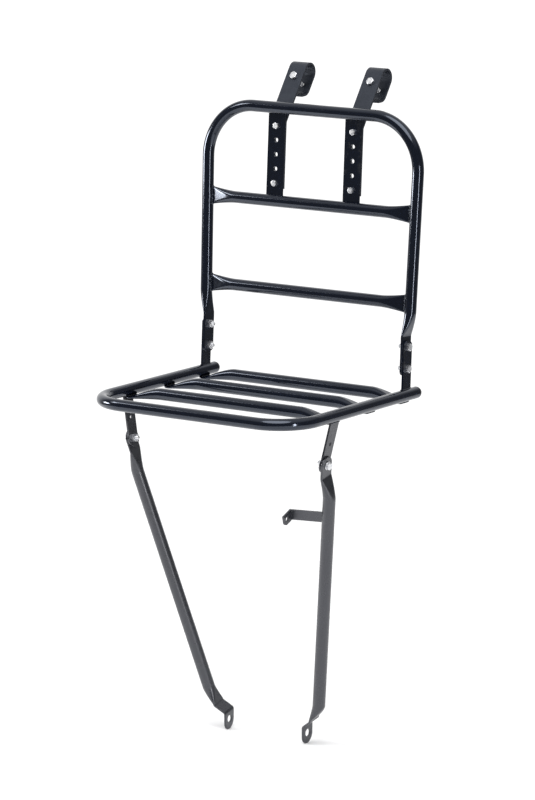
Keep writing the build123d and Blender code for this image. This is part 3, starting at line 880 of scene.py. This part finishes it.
def bolt_tree():
    group, size = new_tree(
        "hexagon bolts",
        Flats=8 * MM,
        Head=3.5 * MM,
        Thread=5 * MM,
        Pitch=0.8 * MM,
        Length=14 * MM,
        Rings=120,
        Seed=1,
    )
    thread_r = calc(group, "MULTIPLY", size["Thread"], 0.5)
    head = hexagon(group, size["Flats"], size["Head"], 0.0, thread_r)
    rod = put(
        group,
        "GeometryNodeMeshCylinder",
        {"Vertices": 24, "Side Segments": size["Rings"], "Radius": 1.0, "Depth": 1.0},
    ).outputs["Mesh"]
    parts = put(group, "ShaderNodeSeparateXYZ", {0: put(group, "GeometryNodeInputPosition").outputs[0]}).outputs
    down = calc(group, "MULTIPLY", calc(group, "SUBTRACT", 0.5, parts[2]), size["Length"])
    turns = calc(group, "DIVIDE", calc(group, "ARCTAN2", parts[1], parts[0]), 2 * pi)
    wave = calc(group, "FRACT", calc(group, "ADD", calc(group, "DIVIDE", down, size["Pitch"]), turns))
    ridge = calc(group, "MULTIPLY", calc(group, "ABSOLUTE", calc(group, "SUBTRACT", wave, 0.5)), 2.0)
    groove = calc(group, "MULTIPLY", calc(group, "MULTIPLY", size["Pitch"], 0.55), ridge)
    to_tip = calc(group, "SUBTRACT", size["Length"], down)
    lead = calc(group, "MAXIMUM", calc(group, "SUBTRACT", size["Pitch"], to_tip), 0.0)
    radius = calc(group, "SUBTRACT", thread_r, calc(group, "MAXIMUM", groove, lead))
    flat_spot = put(group, "ShaderNodeCombineXYZ", {0: parts[0], 1: parts[1]}).outputs[0]
    spot = vec(group, "SCALE", flat_spot, radius)
    level = put(group, "ShaderNodeCombineXYZ", {2: calc(group, "MULTIPLY", down, -1.0)}).outputs[0]
    rod = put(
        group, "GeometryNodeSetPosition", {"Geometry": rod, "Position": vec(group, "ADD", spot, level)}
    ).outputs[0]
    both = group.nodes.new("GeometryNodeJoinGeometry")
    group.links.new(head, both.inputs[0])
    group.links.new(rod, both.inputs[0])
    return end_tree(group, set_out(group, size["Geometry"], both.outputs[0], size["Seed"]), zinc_plate)


def nut_tree():
    group, size = new_tree("hexagon nuts", Flats=8 * MM, Height=4 * MM, Thread=5 * MM, Seed=1)
    thread_r = calc(group, "MULTIPLY", size["Thread"], 0.5)
    nut = hexagon(group, size["Flats"], size["Height"], 0.6 * MM, thread_r)
    return end_tree(group, set_out(group, size["Geometry"], nut, size["Seed"]), zinc_plate)


bolt_group = bolt_tree()
nut_group = nut_tree()

# %% Where they sit
m5 = {"Flats": 8 * MM, "Thread": 5 * MM, "Pitch": 0.8 * MM, "Head": 3.5 * MM, "Nut": 4 * MM}
m6 = {"Flats": 10 * MM, "Thread": 6 * MM, "Pitch": 1.0 * MM, "Head": 4 * MM, "Nut": 5 * MM}
beyond_nut = 4 * MM
tab_bolt_heights = (37 * MM, 68 * MM)
plate_bolt_heights = (279 * MM, 361 * MM)
clamp_drop = 29 * MM
pivot_seat, pivot_grip = 4.4 * MM, 7.4 * MM
tab_grip = 6 * MM


def seats_mesh(name, seats):
    """Loose points that each remember which way they face."""
    mesh = bpy.data.meshes.new(name)
    mesh.from_pydata([spot for spot, facing in seats], [], [])
    facing = mesh.attributes.new("facing", "FLOAT_VECTOR", "POINT")
    facing.data.foreach_set("vector", [c for seat in seats for c in seat[1]])
    return mesh


def fasten(name, size, seats, grip, seed):
    """Bolts on their seats and nuts at the far side of what they hold."""
    length = grip + size["Nut"] + beyond_nut
    bolts = grow(
        name + "_bolts_hex",
        seats_mesh(name, seats),
        bolt_group,
        Flats=size["Flats"],
        Head=size["Head"],
        Thread=size["Thread"],
        Pitch=size["Pitch"],
        Length=length,
        Rings=int(length / size["Pitch"] * 6),
        Seed=seed,
    )
    place(tidy_faces(bolts, radians(28)), "carrier", "zinc_plate", name + "_bolts")
    back = [(spot - facing * grip, -facing) for spot, facing in seats]
    nuts = grow(
        name + "_nuts_hex",
        seats_mesh(name, back),
        nut_group,
        Flats=size["Flats"],
        Height=size["Nut"],
        Thread=size["Thread"],
        Seed=seed + 1,
    )
    place(tidy_faces(nuts, radians(28)), "carrier", "zinc_plate", name + "_nuts")


tab_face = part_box("tab_bolts")[1].x - m6["Head"]
tab_seats = [
    (on_hoop(side * tab_face, height), across * side) for side in (-1, 1) for height in tab_bolt_heights
]
fasten("tab", m6, tab_seats, tab_grip, 11)

plate_x = sum(corner.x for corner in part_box("right_hook_plate")) / 2
plate_front, plate_thickness, strap_thickness = -4.7 * MM, 2 * MM, 3 * MM
plate_seats = [
    (on_hoop(side * plate_x, height, plate_front), lean_front)
    for side in (-1, 1)
    for height in plate_bolt_heights
]
fasten("hook_plate", m5, plate_seats, plate_thickness + strap_thickness, 21)

bar = next(mount for mount in record["mounts"] if mount["name"] == "handlebar_clamp")
strap_lean = radians(35)
strap_up = Vector((0, sin(strap_lean), cos(strap_lean)))
strap_back = Vector((0, cos(strap_lean), -sin(strap_lean)))
bar_r = bar["dims"]["r_mm"] * MM
crest_r = bar_r + strap_thickness / 2
clamp_level = Vector(bar["pos_m"]) - strap_up * (clamp_drop - bar_r - strap_thickness)
clamp_face = clamp_level - strap_back * (crest_r + strap_thickness / 2)
clamp_seats = [(clamp_face + across * side * plate_x, -strap_back) for side in (-1, 1)]
fasten("hook_clamp", m6, clamp_seats, 2 * crest_r + strap_thickness, 31)

pivot_seats = []
for joint in frame["joints"]:
    outward = Vector(joint["axis"]).normalized() * (-1 if joint["pos_m"][0] < 0 else 1)
    pivot_seats.append((Vector(joint["pos_m"]) + outward * pivot_seat, outward))
fasten("pivot", m6, pivot_seats, pivot_grip, 41)

# %% [markdown]
# ## Weld beads
#
# A weld is laid as a row of overlapping puddles, so it is a rope with a ripple. The tree follows a path round
# each joint, swells and shrinks the rope at every puddle, and roughens it a little, since hand welding is never
# even. The paint goes over it, so it takes the same finish as the tubes.

# %% The weld tree
def weld_tree(name, material):
    group, size = new_tree(name, Bead=1.6 * MM, Ripple=1.7 * MM, Depth=0.22, Uneven=0.35 * MM, Seed=3)
    line = put(group, "GeometryNodeMeshToCurve", {0: size["Geometry"]}).outputs[0]
    line = put(
        group, "GeometryNodeResampleCurve", {"Curve": line, "Length": 0.45 * MM}, mode="LENGTH"
    ).outputs[0]
    along = put(group, "GeometryNodeSplineParameter").outputs["Length"]
    line = keep(group, line, "along", along)
    line = keep(group, line, "middle", put(group, "GeometryNodeInputPosition").outputs[0], "FLOAT_VECTOR")
    ring = put(group, "GeometryNodeCurvePrimitiveCircle", {"Resolution": 10, "Radius": size["Bead"]}).outputs[0]
    rope = put(
        group, "GeometryNodeCurveToMesh", {"Curve": line, "Profile Curve": ring, "Fill Caps": True}
    ).outputs[0]
    puddle = calc(group, "FRACT", calc(group, "DIVIDE", read(group, "along"), size["Ripple"]))
    swell = calc(group, "SINE", calc(group, "MULTIPLY", puddle, pi))
    least = calc(group, "SUBTRACT", 1.0, size["Depth"])
    factor = calc(group, "ADD", least, calc(group, "MULTIPLY", swell, size["Depth"]))
    spot = put(group, "GeometryNodeInputPosition").outputs[0]
    arm = vec(group, "SUBTRACT", spot, read(group, "middle", "FLOAT_VECTOR"))
    noise = put(
        group,
        "ShaderNodeTexNoise",
        {"Vector": spot, "W": size["Seed"], "Scale": 420.0, "Detail": 2.0},
        noise_dimensions="4D",
    ).outputs["Color"]
    jitter = vec(group, "SCALE", vec(group, "SUBTRACT", noise, Vector((0.5, 0.5, 0.5))), size["Uneven"])
    moved = vec(group, "ADD", read(group, "middle", "FLOAT_VECTOR"), vec(group, "SCALE", arm, factor))
    moved = vec(group, "ADD", moved, vec(group, "SCALE", jitter, 2.0))
    rope = put(group, "GeometryNodeSetPosition", {"Geometry": rope, "Position": moved}).outputs[0]
    for attribute in ("along", "middle"):
        rope = put(group, "GeometryNodeRemoveAttribute", {"Geometry": rope, "Name": attribute}).outputs[0]
    return end_tree(group, rope, material)


gloss_weld = weld_tree("weld bead, gloss", gloss_paint)
satin_weld = weld_tree("weld bead, satin", satin_paint)

# %% Where the beads run
def strip_outline(centre, long_way, short_way, length, thickness, count=10):
    """A closed line round a strip's or a squeezed tube's outline."""
    points = []
    half = (length - thickness) / 2
    for end in (1, -1):
        for index in range(count + 1):
            angle = pi * index / count - pi / 2
            lengthways = long_way * end * (half + thickness / 2 * cos(angle))
            points.append(centre + lengthways + short_way * end * thickness / 2 * sin(angle))
    return points


loops = []
for name, height in bar_heights.items():
    bar_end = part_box(name)[1].x - 0.6 * MM
    for side in (-1, 1):
        end = on_hoop(side * bar_end, height)
        loops.append(strip_outline(end, lean_up, lean_front, 25.5 * MM, 3.6 * MM))
weld = grow(
    "crossbar_welds", path_mesh("crossbar welds", *loops, closed=True), gloss_weld, Bead=1.5 * MM, Seed=4
)
place(tidy_faces(weld, radians(60)), "carrier", "gloss_black_paint")

# %% Seams of the slats, tabs, hook plates and leg brackets
def seam(start, way, offsets):
    """An open line through a point, by offsets in millimetres along one direction."""
    return [start + way * offset * MM for offset in offsets]


seams = []
fore_and_aft = Vector((0, 1, 0))
under_rail = rail_z - tube_r
for side in (-1, 1):
    for name in slat_names:
        low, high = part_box(name)
        y = (low.y + high.y) / 2
        for x, rise in ((high.x + 0.5 * MM, 0.1 * MM), (rail_x - 3.2 * MM, 0.5 * MM)):
            seams.append(seam(Vector((side * x, y, under_rail + rise)), fore_and_aft, (-10, -5, 0, 5, 10)))
    tab_y = on_hoop(0, 7 * MM).y
    for x, rise in ((tab_face - 0.1 * MM, 8.2 * MM), (tab_face - 3.3 * MM, 7.8 * MM)):
        seams.append(seam(Vector((side * x, tab_y, rail_z + rise)), fore_and_aft, (-11, -5, 0, 5, 11)))
    for height, turn in ((upper_bar_height, 1), (hoop_top_height, -1)):
        for ahead in (plate_front + 0.2 * MM, plate_front - plate_thickness - 0.2 * MM):
            rise = sqrt(tube_r ** 2 - ahead ** 2)
            start = on_hoop(side * plate_x, height + turn * rise, ahead)
            seams.append(seam(start, across, (-13, -6, 0, 6, 13)))
    low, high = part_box(("left" if side < 0 else "right") + "_leg_bracket")
    outer = high.x if side > 0 else -low.x
    for x, z in ((outer + 0.2 * MM, high.z - 0.2 * MM), (outer - 3.4 * MM, high.z - 1.6 * MM)):
        seams.append(seam(Vector((side * x, high.y - 10 * MM, z)), fore_and_aft, (-9, -4, 0, 4, 9)))
print(len(loops), "loops and", len(seams), "seams")
weld = grow("seam_welds", path_mesh("seam welds", *seams), gloss_weld, Bead=1.2 * MM, Seed=5)
place(tidy_faces(weld, radians(60)), "carrier", "gloss_black_paint")

# %% The bead where the lamp arm meets the right leg
lamp_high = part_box("lamp_bracket")[1]
arm_root = Vector((lamp_high.x, lamp_high.y - 1.5 * MM, lamp_high.z - 7.5 * MM))
arm_droop = radians(3)
arm_line = Vector((-cos(arm_droop), 0, -sin(arm_droop)))
arm_up = Vector((0, 0, 1)) - arm_line * arm_line.z
arm_side = arm_line.cross(arm_up).normalized()
weld_centre = arm_root + arm_line * 0.8 * MM
lamp_outline = strip_outline(weld_centre, arm_up.normalized(), arm_side, 15.2 * MM, 3.4 * MM)
weld = grow(
    "lamp_weld", path_mesh("lamp weld", lamp_outline, closed=True), satin_weld, Bead=1.3 * MM, Seed=6
)
place(tidy_faces(weld, radians(60)), "right_leg", "satin_black_paint")
print("lamp arm meets the leg at", [round(c * 1000, 1) for c in arm_root])
print("solids still showing", [name for name, node in frame["nodes"].items() if not node.hide_render])

# %% [markdown]
# ## Floor
#
# The carrier stands on a plain pale floor. It is small on purpose: a glossy upright tube reflects what lies
# near the horizon, and a floor that reached that far would turn it grey.

# %% The floor
floor_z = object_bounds()[0].z
floor_mesh = bpy.data.meshes.new("floor")
floor_half = 1.6
floor_mesh.from_pydata(
    [(x * floor_half, y * floor_half, floor_z) for x, y in ((-1, -1), (1, -1), (1, 1), (-1, 1))],
    [],
    [(0, 1, 2, 3)],
)
floor = bpy.data.objects.new("floor", floor_mesh)
scene.collection.objects.link(floor)
floor_paint = bpy.data.materials.new("pale floor")
floor_paint.use_nodes = True
floor_shader = floor_paint.node_tree.nodes["Principled BSDF"]
floor_shader.inputs["Base Color"].default_value = (0.93, 0.93, 0.935, 1)
floor_shader.inputs["Roughness"].default_value = 0.9
floor_shader.inputs["Specular IOR Level"].default_value = 0.1
floor_mesh.materials.append(floor_paint)

# %% [markdown]
# ## Studio light
#
# Black paint is lit by what it mirrors. The room is bright behind the carrier and overhead, so a tube's edges
# mirror white, and dim in front, so its middle stays black. What the camera sees of the room itself is always
# white. A narrow tall box stands at the right and two wider ones at the left, one high and one low, and a broad
# soft sun shines from above.

# %% The room
middle = (cad_box[0] + cad_box[1]) / 2
camera_azimuth, camera_elevation = radians(34.33), radians(10.933)
to_camera = Vector((sin(camera_azimuth), -cos(camera_azimuth), 0))

world = bpy.data.worlds.new("studio")
scene.world = world
world.use_nodes = True
group = world.node_tree
direction = group.nodes.new("ShaderNodeTexCoord").outputs["Generated"]
front = vec(group, "DOT_PRODUCT", direction, to_camera)
height = put(group, "ShaderNodeSeparateXYZ", {0: direction}).outputs[2]
white_wall, dim_wall = 1.15, 0.16
wall = span(group, front, -0.75, -0.45, white_wall, dim_wall)
ceiling = span(group, height, 0.45, 0.85, 0.0, 0.8)
glow = calc(group, "MAXIMUM", wall, ceiling)
seen = group.nodes.new("ShaderNodeLightPath").outputs["Is Camera Ray"]
glow = calc(group, "MAXIMUM", glow, calc(group, "MULTIPLY", seen, white_wall))
group.links.new(glow, group.nodes["Background"].inputs["Strength"])
group.nodes["Background"].inputs["Color"].default_value = (1.0, 1.0, 1.0, 1)

# %% The lamps
def at(azimuth, elevation, distance):
    """A place round the carrier, by degrees; azimuth 0 is in front of it and 90 at its right side."""
    a, e = radians(azimuth), radians(elevation)
    return middle + Vector((sin(a) * cos(e), -cos(a) * cos(e), sin(e))) * distance


def soft_box(name, spot, width, height, radiance):
    """An area light that looks at the carrier, as bright as its radiance whatever its size."""
    light = bpy.data.lights.new(name, "AREA")
    light.shape = "RECTANGLE"
    light.size = width
    light.size_y = height
    light.energy = radiance * pi * width * height
    lamp = bpy.data.objects.new(name, light)
    scene.collection.objects.link(lamp)
    lamp.location = spot
    lamp.rotation_euler = (middle - spot).to_track_quat("-Z", "Y").to_euler()
    lamp.visible_camera = False
    return lamp


soft_box("strip box, right", at(66, 0, 2.0), 0.16, 1.2, 20.0)
soft_box("soft box, left", at(-56, 37, 2.4), 0.50, 0.50, 9.0)
soft_box("soft box, low left", at(-66, 9, 2.3), 0.70, 0.44, 22.0)

sun = bpy.data.lights.new("overhead", "SUN")
sun.energy = 1.9
sun.angle = radians(50)
overhead = bpy.data.objects.new("overhead", sun)
scene.collection.objects.link(overhead)
overhead.rotation_euler = (at(20, 62, 1) - middle).to_track_quat("Z", "Y").to_euler()

# %% [markdown]
# ## Camera
#
# A long lens about six metres away keeps the uprights nearly parallel.

# %% The camera
camera_data = bpy.data.cameras.new("camera")
camera_data.lens = 194.4
camera_data.sensor_fit = "VERTICAL"
camera_data.sensor_height = 36.0
camera = bpy.data.objects.new("camera", camera_data)
scene.collection.objects.link(camera)
camera.location = (3.3651, -4.9283, 1.6259)
forward = -to_camera * cos(camera_elevation) - Vector((0, 0, sin(camera_elevation)))
camera.rotation_euler = forward.to_track_quat("-Z", "Y").to_euler()
camera_data.clip_end = 100.0
scene.camera = camera
scene.view_settings.view_transform = "Standard"
